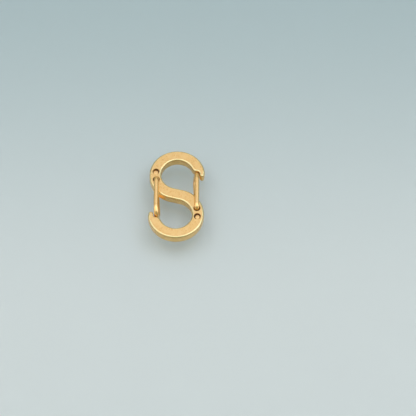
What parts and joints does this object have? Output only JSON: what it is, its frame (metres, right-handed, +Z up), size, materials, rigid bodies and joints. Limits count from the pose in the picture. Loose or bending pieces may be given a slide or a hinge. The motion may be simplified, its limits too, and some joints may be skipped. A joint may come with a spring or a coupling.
{
  "type": "s-hook clasp",
  "caption": "Flat S-shaped metal clasp with a round eye in each loop, closed by spring wire gates, for joining chains, rings and charms.",
  "frame": {"origin": "under the middle of the S, on the surface that the lower wire arms rest on", "axes": "+Z up through the plate, +Y along the clasp to the upper loop, +X across it to the upper loop's mouth"},
  "size_m": [0.013, 0.023, 0.0047],
  "materials": {
    "gold_plate": "gold-plated, satin faces, polished edges",
    "gold_wire": "gold-plated, polished wire"
  },
  "bodies": {
    "plate": {"s_frame": "gold_plate"},
    "left_wire": {"left_gate": "gold_wire"},
    "right_wire": {"right_gate": "gold_wire"}
  },
  "joints": [
    {"name": "left_gate_hinge", "type": "hinge", "parent": "plate", "child": "left_wire", "pos_m": [-0.00473, 0.00487, 0.00234], "axis": [0, 0, 1], "range_deg": [0, 9], "stiffness_Nm_per_rad": 0.02, "springref_deg": -14.32},
    {"name": "right_gate_hinge", "type": "hinge", "parent": "plate", "child": "right_wire", "pos_m": [0.00473, -0.00487, 0.00234], "axis": [0, 0, 1], "range_deg": [0, 9], "stiffness_Nm_per_rad": 0.02, "springref_deg": -14.32}
  ]
}
